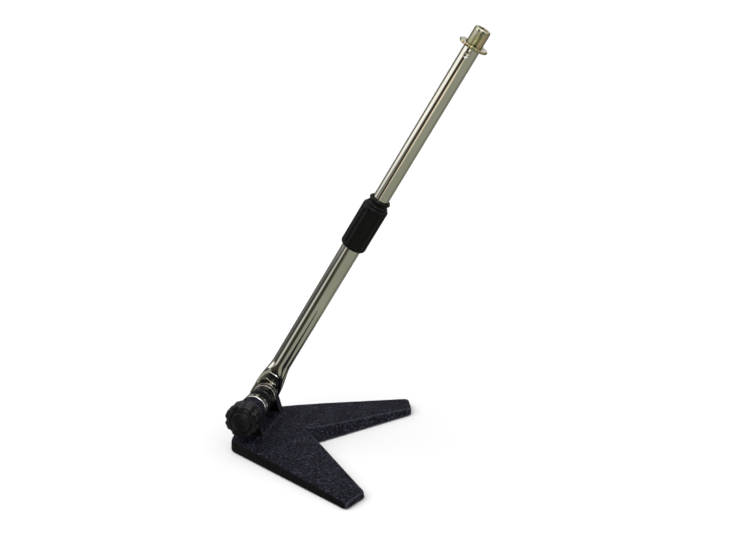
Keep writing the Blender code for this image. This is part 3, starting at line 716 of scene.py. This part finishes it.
def lower_tube():
    """The tube with its pressed end, bored from the top and drilled for the bolt."""
    points = local_points("lower_tube", TUBE)
    foot, top = along("lower_tube", TUBE)
    high = points[points[:, 2] > top - 1 * MM]
    radius = np.hypot(high[:, 0], high[:, 1]).max()
    half = np.abs(points[points[:, 2] < foot + 30 * MM][:, 0]).max()
    heights = [foot, foot + 0.25 * MM, foot + 0.6 * MM]
    heights += list(np.arange(foot + 1.4 * MM, foot + 62 * MM, 0.6 * MM))
    heights += list(np.linspace(foot + 64 * MM, top, 12))
    rows = [pressed_section(z, radius, half, foot) for z in heights]
    for row, share in zip(rows, (0.965, 0.99)):
        middle = row[:, :2].mean(axis=0)
        row[:, :2] = middle + (row[:, :2] - middle) * share
    outside = scratch("tube_blank", grid_mesh("tube_blank", rows, False))
    bore_low, bore_r = 52 * MM, radius - TUBE_WALL
    bore_profile = [
        (0.0, top + 5 * MM, 0.0),
        (0.0, bore_low - 7 * MM, 0.0),
        (4.0 * MM, bore_low - 5 * MM, 0.0),
        (bore_r, bore_low + 3 * MM, 0.0),
        (bore_r, top + 5 * MM, 0.0),
    ]
    bore = scratch("tube_bore", lathe("tube_bore", bore_profile, 72))
    bolt_at = TUBE.inverted() @ AXLE
    hole_profile = ring_profile(0.0, 4.4 * MM, 0.0, 24 * MM, 0.0)
    hole = scratch("tube_hole", lathe("tube_hole", hole_profile, 48))
    start = Matrix.Translation((bolt_at.x, -12 * MM, bolt_at.z))
    hole.matrix_world = start @ Matrix.Rotation(-math.pi / 2, 4, "X")
    for cutter in (bore, hole):
        cut = outside.modifiers.new(cutter.name, "BOOLEAN")
        cut.operation = "DIFFERENCE"
        cut.object = cutter
    bpy.context.view_layer.update()
    mesh = evaluated_copy(outside, "pressed_tube")
    for cutter in (bore, hole):
        bpy.data.objects.remove(cutter)
    piece("pressed_tube", mesh, TUBE, NICKEL, "lower_tube", ["lower_tube"])


# ---------------------------------------------------------------- clutch

FLUTES = 12
FLUTE_SCOOP = 4.1 * MM
FLUTE_DEPTH = 0.85 * MM


def sleeve():
    """The clutch's grip, with flutes that end in arches under a rounded shoulder."""
    low, high = along("clutch_sleeve", TUBE)
    outer = radius_of("clutch_sleeve", TUBE)
    bore = 11.7 * MM
    tube_clear = 10.05 * MM
    low_rounding, top_rounding = 3.2 * MM, 3.4 * MM
    angles = full_turn(FLUTES * 20)

    def outside(z):
        low_end = 2.1 * MM * (1 - arc((z - low) / low_rounding))
        top_end = 2.4 * MM * (1 - arc((high - z) / top_rounding))
        return outer - low_end - top_end

    def fluted(z):
        top_arch = arc((high - 2.4 * MM - z) / (4.2 * MM))
        low_arch = arc((z - low - 2.2 * MM) / (3.4 * MM))
        size = FLUTE_SCOOP * top_arch * low_arch
        if size <= 0.2 * MM:
            return outside(z)
        return softened(scooped(angles, outside(z), FLUTES, size, outer + FLUTE_SCOOP - FLUTE_DEPTH), 1)

    heights = list(low + low_rounding * (1 - np.cos(np.linspace(0, np.pi / 2, 9))))
    heights += list(np.linspace(low + 3.4 * MM, low + 6 * MM, 9))
    heights += list(np.linspace(low + 7 * MM, high - 8 * MM, 14))
    heights += list(np.linspace(high - 7.2 * MM, high - 2.2 * MM, 20))
    heights += list(high - top_rounding * (1 - np.sin(np.linspace(0.45, np.pi / 2, 9))))
    rows = [loop(fluted(z), angles, z) for z in sorted(heights)]
    inside = [
        (10.5 * MM, high),
        (10.4 * MM, high - 0.3 * MM),
        (10.4 * MM, high - 2.2 * MM),
        (bore, low + 31.5 * MM),
        (bore, low + 0.7 * MM),
        (tube_clear, low + 0.7 * MM),
        (tube_clear, low + 0.2 * MM),
        (tube_clear + 0.2 * MM, low),
    ]
    rows += [loop(r, angles, z) for r, z in inside]
    mesh = grid_mesh("grip_sleeve", rows, True)
    piece("grip_sleeve", mesh, TUBE, GRIP_PLASTIC, "clutch_sleeve", ["clutch_sleeve"])


def collar():
    """The waisted neck above the sleeve, with a flared lip."""
    low, high = along("clutch_collar", TUBE)
    wide = radius_of("clutch_collar", TUBE)
    bore = 8.3 * MM
    waist = wide - 1.35 * MM
    profile = [
        (bore, low, 0.0),
        (wide, low, 0.1 * MM),
        (wide, low + 0.9 * MM, 0.5 * MM),
        (waist, low + 2.6 * MM, 1.0 * MM),
        (waist, high - 3.3 * MM, 0.8 * MM),
        (wide - 0.1 * MM, high - 2.3 * MM, 0.45 * MM),
        (wide - 0.1 * MM, high - 1.3 * MM, 0.5 * MM),
        (wide - 1.0 * MM, high, 0.35 * MM),
        (bore + 0.9 * MM, high, 0.3 * MM),
        (bore, high - 0.9 * MM, 0.2 * MM),
    ]
    mesh = lathe("neck_collar", profile, 120, 5)
    piece("neck_collar", mesh, TUBE, GRIP_PLASTIC, "clutch_sleeve", ["clutch_collar"])


# ---------------------------------------------------------------- upper tube and threaded top

DIMPLE_RADIUS, DIMPLE_DEPTH, DIMPLE_RIM = 3.1 * MM, 1.5 * MM, 0.10 * MM


def upper_tube():
    """The drawn tube, with rounded ends and a staking dimple pressed in its near side."""
    low, high = along("upper_tube", TUBE)
    outer = radius_of("upper_tube", TUBE)
    inner = outer - TUBE_WALL
    points = local_points("upper_tube", TUBE)
    radii = np.hypot(points[:, 0], points[:, 1])
    dents = points[(radii < outer - 0.35 * MM) & (radii > inner + 0.02 * MM)]
    dent_x, dent_y, dent_z = dents.mean(axis=0)
    dent_turn = math.atan2(dent_y, dent_x)
    angles = full_turn(160)
    heights = [low, low + 0.15 * MM, low + 0.4 * MM]
    heights += list(np.linspace(low + 2 * MM, dent_z - 4 * MM, 14))
    heights += list(np.linspace(dent_z - 3.6 * MM, dent_z + 3.6 * MM, 25))
    heights += [high - 1 * MM, high - 0.4 * MM, high - 0.15 * MM, high]
    away = (angles - dent_turn + np.pi) % (2 * np.pi) - np.pi
    rows = []
    for z in heights:
        lip = 0.3 * MM * (1 - arc(min(z - low, high - z) / (0.4 * MM)))
        far = np.hypot(away * outer, z - dent_z) / DIMPLE_RADIUS
        dent = DIMPLE_DEPTH * np.clip(1 - far**2, 0.0, None) ** 1.3
        rim = DIMPLE_RIM * np.exp(-(((far - 1.12) / 0.2) ** 2))
        rows.append(loop(outer - lip - dent + rim, angles, z))
    rows += [loop(inner, angles, z) for z in (high - 0.1 * MM, low + 0.1 * MM)]
    mesh = grid_mesh("drawn_tube", rows, True)
    piece("drawn_tube", mesh, TUBE, NICKEL, "upper_tube", ["upper_tube"])


def threaded_stub():
    """The hollow stub with its 27-turns-an-inch thread, above the plug that is staked in the tube."""
    low, high = along("thread_adapter", TUBE)
    seat = along("upper_tube", TUBE)[1] + 0.3 * MM
    outer = 7.94 * MM
    bore = 4.6 * MM
    pitch, thread_depth = 25.4 * MM / 27, 0.15 * MM
    rim_width, rim_height = 1.5 * MM, 1.9 * MM
    angles = full_turn(120)
    rows = []

    def level(radii, z):
        rows.append(loop(radii, angles, z))

    level(0.0, low)
    level(6.2 * MM, low)
    level(6.5 * MM, low + 0.3 * MM)
    level(6.5 * MM, seat)
    level(outer - 0.5 * MM, seat)
    end = high - rim_height
    for z in np.linspace(seat + 0.2 * MM, end, int((end - seat) / pitch * 9)):
        level(threaded_radius(angles, z, outer, pitch, thread_depth, seat - pitch, end, 1.4), z)
    for turn in np.linspace(0.15, 1.0, 7):
        a = turn * math.pi / 2
        level(outer - thread_depth - rim_width * (1 - math.cos(a)), end + rim_height * math.sin(a))
    level(bore + 0.5 * MM, high)
    level(bore + 0.15 * MM, high - 0.15 * MM)
    level(bore, high - 0.5 * MM)
    level(bore, high - 8.0 * MM)
    level(0.0, high - 9.0 * MM)
    mesh = grid_mesh("threaded_stub", rows, False)
    piece("threaded_stub", mesh, TUBE, ZINC, "upper_tube", ["thread_adapter"])


def scalloped_ring():
    """The lock ring: rounded scallops round its rim and a chamfered hole."""
    low, high = along("lock_ring", TUBE)
    outer = radius_of("lock_ring", TUBE)
    hole = 8.45 * MM
    lobes, scallop = 12, 0.62 * MM
    angles = full_turn(lobes * 20)
    rim = softened(outer - scallop * (0.5 - 0.5 * np.cos(lobes * angles)) ** 1.3, 2)
    rows = []

    def level(radii, z):
        rows.append(loop(radii, angles, z))

    edge, flat_to, chamfered = 0.75 * MM, outer - 2.6 * MM, hole + 0.45 * MM
    level(chamfered, low)
    level(flat_to, low)
    for turn in np.linspace(0.0, math.pi / 2, 6):
        level(rim - edge * (1 - math.sin(turn)), low + edge * (1 - math.cos(turn)))
    for turn in np.linspace(math.pi / 2, 0.0, 6):
        level(rim - edge * (1 - math.sin(turn)), high - edge * (1 - math.cos(turn)))
    level(flat_to, high)
    level(chamfered, high)
    level(hole, high - 0.4 * MM)
    level(hole, low + 0.4 * MM)
    mesh = grid_mesh("scalloped_ring", rows, True)
    piece("scalloped_ring", mesh, TUBE, ZINC, "lock_ring", ["lock_ring"])


# ---------------------------------------------------------------- all pieces


def refinish(node, material):
    """A finish for a hidden CAD node, which keeps its shape."""
    materials = frame["nodes"][node].data.materials
    materials.clear()
    materials.append(material)


base()
for label in ("rear", "left", "right"):
    foot_pad(label)
bolt()
split_washer()
axle_ring("bolt_washer", "flat_washer", STEEL, 0.25 * MM)
axle_ring("near_bush", "bush", CHROME, 1.0 * MM)
axle_ring("compression_ring", "squeeze_ring", RUBBER, 0.8 * MM)
waisted_spacer()
axle_ring("clamp_washer", "clamp_plate", CHROME, 0.6 * MM)
axle_ring("friction_disc", "fibre_disc", FIBRE, 0.2 * MM)
axle_ring("knob_washer", "thrust_washer", STEEL, 0.25 * MM, "knob_washer")
knob()
knob_cap()
lower_tube()
sleeve()
collar()
upper_tube()
threaded_stub()
scalloped_ring()
refinish("knob_insert", BRASS)
refinish("clutch_body", GRIP_PLASTIC)
refinish("clutch_seal", RUBBER)
refinish("clutch_collet", NYLON)
refinish("guide_bush", NYLON)


# ---------------------------------------------------------------- studio

# SOFT_LIGHT is the even surround, and the key is a wide sun. Gloss reflects SURROUND and the panels instead:
# (azimuth from, to, elevation from, to, soft edge, colour), in degrees.
# Azimuth 0 is towards -Y and 90 towards +X. Later panels lie over earlier ones.
SOFT_LIGHT = 0.66
KEY_STRENGTH, KEY_WIDTH, KEY_TURN = 2.1, math.radians(70), (math.radians(24), math.radians(-22), 0.0)
SURROUND = (0.08, 0.08, 0.08)
PANELS = [
    (-8, 181, -95, -20, 6.0, (0.42, 0.43, 0.35)),
    (-150, -40, -46, -20, 4.0, (0.45, 0.46, 0.38)),
    (112, 165, -60, -20, 14.0, (0.28, 0.28, 0.23)),
    (-150, -100, 2, 60, 8.0, (0.26, 0.25, 0.23)),
    (-96, -54, 13, 60, 9.0, (1.65, 1.62, 1.55)),
    (-60, -40, -9, -1, 6.0, (0.85, 0.85, 0.80)),
    (-40, -24, -18, 30, 6.0, (0.075, 0.06, 0.04)),
    (-32, -17, -34, -21, 3.0, (0.04, 0.04, 0.035)),
    (-14, 0, -12, 22, 8.0, (1.35, 1.22, 0.95)),
    (60, 120, -4, 50, 10.0, (1.1, 1.1, 1.1)),
    (-181, -173, 14, 44, 6.0, (0.95, 0.98, 1.05)),
    (157, 181, 12, 44, 6.0, (0.95, 0.98, 1.05)),
    (-181, 181, 44, 95, 10.0, (1.10, 1.10, 1.10)),
    (22, 62, 42, 66, 7.0, (5.0, 5.3, 6.0)),
]


def studio_world():
    """An even soft surround for the light, with panels of its own for what gloss reflects."""
    made = bpy.data.worlds.new("soft_surround")
    bpy.context.scene.world = made
    made.use_nodes = True
    tree = made.node_tree
    background = tree.nodes["Background"]

    def math_node(operation, first, second=0.0):
        node = tree.nodes.new("ShaderNodeMath")
        node.operation = operation
        for socket, value in zip(node.inputs, (first, second)):
            if isinstance(value, (int, float)):
                socket.default_value = value
            else:
                tree.links.new(value, socket)
        return node.outputs["Value"]

    def window(value, low, high, soft):
        """1 between low and high, falling smoothly to 0 outside them."""
        sides = []
        for start, end in ((low - soft, low), (high + soft, high)):
            step = tree.nodes.new("ShaderNodeMapRange")
            step.interpolation_type = "SMOOTHSTEP"
            step.inputs["From Min"].default_value = start
            step.inputs["From Max"].default_value = end
            tree.links.new(value, step.inputs["Value"])
            sides.append(step.outputs["Result"])
        return math_node("MULTIPLY", *sides)

    def mix(share, first, second):
        node = tree.nodes.new("ShaderNodeMix")
        node.data_type = "RGBA"
        tree.links.new(share, node.inputs["Factor"])
        for socket, value in ((node.inputs[6], first), (node.inputs[7], second)):
            if isinstance(value, tuple):
                socket.default_value = (*value, 1.0)
            else:
                tree.links.new(value, socket)
        return node.outputs[2]

    split = tree.nodes.new("ShaderNodeSeparateXYZ")
    tree.links.new(tree.nodes.new("ShaderNodeTexCoord").outputs["Generated"], split.inputs["Vector"])
    backward = math_node("MULTIPLY", split.outputs["Y"], -1.0)
    azimuth = math_node("DEGREES", math_node("ARCTAN2", split.outputs["X"], backward))
    elevation = math_node("DEGREES", math_node("ARCSINE", split.outputs["Z"]))
    seen = SURROUND
    for low, high, under, over, soft, colour in PANELS:
        across, upright = window(azimuth, low, high, soft), window(elevation, under, over, soft)
        seen = mix(math_node("MULTIPLY", across, upright), seen, colour)
    glossy = tree.nodes.new("ShaderNodeLightPath").outputs["Is Glossy Ray"]
    tree.links.new(mix(glossy, (SOFT_LIGHT, SOFT_LIGHT, SOFT_LIGHT), seen), background.inputs["Color"])


def sun():
    """A wide, soft key that brings the floor up to white."""
    light = bpy.data.lights.new("key", "SUN")
    light.angle = KEY_WIDTH
    light.energy = KEY_STRENGTH
    obj = bpy.data.objects.new("key", light)
    obj.rotation_euler = KEY_TURN
    obj.visible_glossy = False
    bpy.context.scene.collection.objects.link(obj)


def floor():
    """A pale floor that gloss doesn't reflect."""
    bm = bmesh.new()
    bmesh.ops.create_grid(bm, x_segments=2, y_segments=2, size=30.0)
    mesh = bpy.data.meshes.new("floor")
    bm.to_mesh(mesh)
    bm.free()
    n = Nodes("pale_floor", (0.86, 0.86, 0.86), 0.9, Specular_IOR_Level=0.1)
    n.colour(n.ramp(n.noise(3.0, 2.0), [(0.3, 0.855), (0.7, 0.87)]))
    mesh.materials.append(n.material)
    obj = bpy.data.objects.new("floor", mesh)
    bpy.context.scene.collection.objects.link(obj)
    obj.visible_glossy = False


# Solved from the photo's perspective: metres, then degrees of yaw, pitch and roll.
CAMERA_AT = (0.39333, -1.01519, 0.54202)
CAMERA_TURN = (15.364, 18.534, 0.52)
FOCAL_LENGTH = 56.3


def camera():
    """A camera on the knob's side and a little to the right, higher than the stand and looking down."""
    lens = bpy.data.cameras.new("camera")
    lens.lens = FOCAL_LENGTH
    lens.sensor_width = 36.0
    lens.clip_end = 100.0
    obj = bpy.data.objects.new("camera", lens)
    yaw, pitch, roll = (math.radians(a) for a in CAMERA_TURN)
    level = Vector((-math.sin(yaw), math.cos(yaw), 0.0))
    forward = level * math.cos(pitch) - Vector((0.0, 0.0, math.sin(pitch)))
    right = Vector((math.cos(yaw), math.sin(yaw), 0.0))
    up = right.cross(forward)
    right = right * math.cos(roll) + up * math.sin(roll)
    up = right.cross(forward)
    turn = Matrix((right, up, -forward)).transposed().to_4x4()
    obj.matrix_world = Matrix.Translation(CAMERA_AT) @ turn
    bpy.context.scene.collection.objects.link(obj)
    bpy.context.scene.camera = obj


floor()
studio_world()
sun()
camera()
bpy.context.scene.view_settings.view_transform = "Standard"
